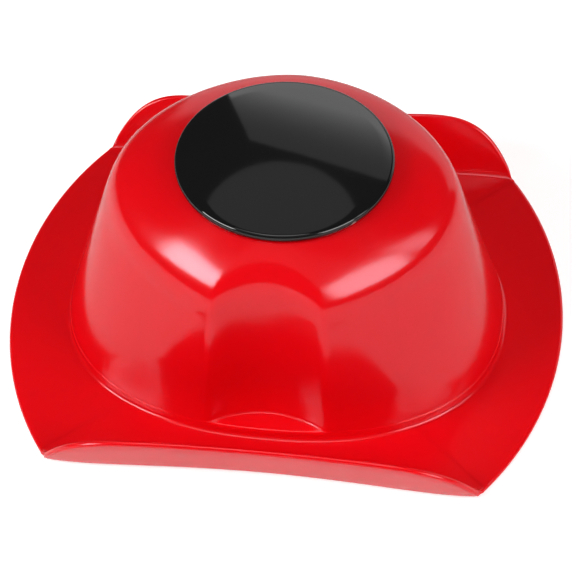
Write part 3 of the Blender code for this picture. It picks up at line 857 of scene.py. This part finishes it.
def white_plastic():
    """Satin white food-grade plastic with a fine moulded grain."""
    finish = Finish("white_plastic", IOR=1.5)
    place = finish.place()
    cloud = finish.noise(place, scale=55.0)
    grain = finish.noise(place, scale=2200.0, detail=2.0)
    warm_white = (0.72, 0.71, 0.67, 1)
    clear_white = (0.82, 0.81, 0.77, 1)
    finish.feed(Base_Color=finish.blend(cloud, warm_white, clear_white))
    finish.feed(Roughness=0.30 + cloud * 0.10 + grain * 0.08)
    finish.feed(Normal=finish.bump(grain, strength=0.25, distance=0.00005))
    return finish.material


def steel():
    """Drawn stainless steel, streaked along its length."""
    finish = Finish("steel", Metallic=1.0)
    place = finish.place()
    streak = finish.noise(place, scale=3000.0, detail=2.0, stretch=(1.0, 1.0, 0.03))
    cloud = finish.noise(place, scale=150.0)
    dull_steel = (0.52, 0.52, 0.53, 1)
    bright_steel = (0.64, 0.64, 0.64, 1)
    finish.feed(Base_Color=finish.blend(cloud, dull_steel, bright_steel))
    finish.feed(Roughness=0.18 + streak * 0.16 + cloud * 0.05)
    finish.feed(Normal=finish.bump(streak, strength=0.2, distance=0.00003))
    return finish.material


# Stage, light and camera

def floor():
    """Pale floor that shows white to the camera and keeps the shadow."""
    piece = begin(bpy.ops.mesh.primitive_plane_add, "floor", size=FLOOR_SIZE)
    bpy.ops.object.mode_set(mode="OBJECT")
    finish = Finish("floor_white", Base_Color=FLOOR_COLOUR, Roughness=0.9, Specular_IOR_Level=0.0,
                    Emission_Strength=1.0)
    mirrored = finish.ray("Is Glossy Ray") + finish.ray("Is Transmission Ray")
    glow = finish.ray("Is Camera Ray") * FLOOR_SEEN + mirrored * FLOOR_MIRRORED
    finish.feed(Emission_Color=finish.blend(glow, BLACK, WHITE))
    piece.data.materials.append(finish.material)


def surroundings():
    """Even dark grey all round, white where the camera sees past the floor."""
    studio = bpy.data.worlds.new("studio")
    studio.use_nodes = True
    nodes = Nodes(studio.node_tree, "Background")
    nodes.feed(Color=nodes.blend(nodes.ray("Is Camera Ray"), SURROUNDINGS, WHITE))
    bpy.context.scene.world = studio


def lamp(name, direction, distance, size, brightness, shape="RECTANGLE", roll=0, aim=LAMP_TARGET):
    """Soft lamp that the camera doesn't see; a mirror of it shows its brightness.

    Its direction from the object is in degrees, clockwise from straight behind and above the level.
    """
    azimuth, elevation = [math.radians(angle) for angle in direction]
    width, height = size
    data = bpy.data.lights.new(name, "AREA")
    data.shape = shape
    data.size = width
    data.size_y = height
    area = width * height * (math.pi / 4 if shape == "ELLIPSE" else 1)
    data.energy = math.pi * area * brightness
    obj = bpy.data.objects.new(name, data)
    bpy.context.scene.collection.objects.link(obj)
    level = math.cos(elevation)
    towards = Vector((level * math.sin(azimuth), level * math.cos(azimuth), math.sin(elevation)))
    place = LAMP_TARGET + towards * distance
    turn = (place - aim).to_track_quat("Z", "Y").to_matrix().to_4x4()
    obj.matrix_world = Matrix.Translation(place) @ turn @ Matrix.Rotation(math.radians(roll), 4, "Z")
    obj.visible_camera = False
    return data


def graduated(card):
    """Let a lamp grow dim towards one edge, as a graduated softbox does."""
    card.use_nodes = True
    nodes = Nodes(card.node_tree, "Emission")
    place = nodes.node("ShaderNodeNewGeometry", output="Parametric")
    height = nodes.node("ShaderNodeSeparateXYZ", None, {0: place}, output="Y")
    share = 1 - nodes.ramp(height, low=UPPER_CARD_FULL, high=1.0)
    nodes.feed(Color=nodes.blend(share * share * share, UPPER_CARD_DIM, WHITE))


def light():
    """Windows at the front left and right, soft fill, and two cards that the cap mirrors."""
    surroundings()
    lamp("overhead", direction=(-120, 85), distance=1.10, size=(0.50, 0.50), brightness=2.5)
    lamp("left_window", direction=(-120, 31.8), distance=0.90, size=(0.47, 0.30), brightness=13.8, roll=12)
    lamp("right_window", direction=(123, 28), distance=0.90, size=(0.48, 0.42), brightness=7.0)
    lamp("right_pane", direction=(96, 32), distance=0.90, size=(0.17, 0.38), brightness=3.3)
    lamp("ceiling", direction=(178, 55), distance=1.00, size=(1.40, 0.35), brightness=0.27)
    lamp("backdrop", direction=(15, 14), distance=1.20, size=(1.75, 0.75), brightness=0.9)
    upper_card = lamp("upper_card", direction=(-2.12, 41.95), distance=0.217, size=(0.109, 0.068),
                      brightness=2.1, roll=15.8, aim=UPPER_CARD_AIM)
    graduated(upper_card)
    lamp("lower_card", direction=(-8.3, 52.8), distance=0.36, size=(0.076, 0.075), brightness=0.36,
         shape="ELLIPSE")


def camera():
    """Camera at the photograph's angle."""
    back = Vector((0, -math.cos(CAMERA_ELEVATION), math.sin(CAMERA_ELEVATION)))
    right = Vector((1, 0, 0))
    up = right.cross(-back)
    axes = Matrix((right, up, back)).transposed().to_4x4()
    data = bpy.data.cameras.new("camera")
    data.sensor_width = SENSOR_WIDTH
    data.lens = FOCAL_PIXELS / PICTURE_PIXELS * SENSOR_WIDTH
    obj = bpy.data.objects.new("camera", data)
    bpy.context.scene.collection.objects.link(obj)
    rolled = axes @ Matrix.Rotation(-CAMERA_ROLL, 4, "Z")
    place = Matrix.Translation(CAMERA_TARGET + back * CAMERA_DISTANCE)
    obj.matrix_world = Matrix.Rotation(CAMERA_AZIMUTH, 4, "Z") @ place @ rolled
    bpy.context.scene.camera = obj


# Assembly

def dress(piece, material, body, node):
    """Give a piece its finish and body, and let it stand for a node of the frame."""
    for mesh in (piece.data, frame["nodes"][node].data):
        mesh.materials.clear()
        mesh.materials.append(material)
    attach(piece, body)
    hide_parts(node)


def hat_pieces():
    """Pieces that stay with the hat, each with its slot and node."""
    pieces = [(hat(), "red_plastic", "hat_shell"), (carrier_ring(), "white_plastic", "prong_ring")]
    pieces += [(piece, "steel", f"prong_{i}") for i, piece in enumerate(prongs(), start=1)]
    pieces += [(piece, "steel", f"ring_screw_{i}") for i, piece in enumerate(carrier_screws(), start=1)]
    return pieces


def pusher_pieces():
    """Pieces that slide with the pusher, each with its slot and node."""
    return [(press_cap(), "black_plastic", "press_cap"), (stem(), "white_plastic", "pusher_stem"),
            (plate(), "white_plastic", "pusher_plate"), (long_screw(), "steel", "pusher_screw")]


def main():
    """Build the pieces, dress them and light them."""
    finishes = {"red_plastic": red_plastic(), "black_plastic": black_plastic(),
                "white_plastic": white_plastic(), "steel": steel()}
    for body, pieces in (("hat", hat_pieces()), ("pusher", pusher_pieces())):
        for piece, slot, node in pieces:
            dress(piece, finishes[slot], body, node)
    floor()
    light()
    camera()
    bpy.context.scene.view_settings.view_transform = "Standard"


main()
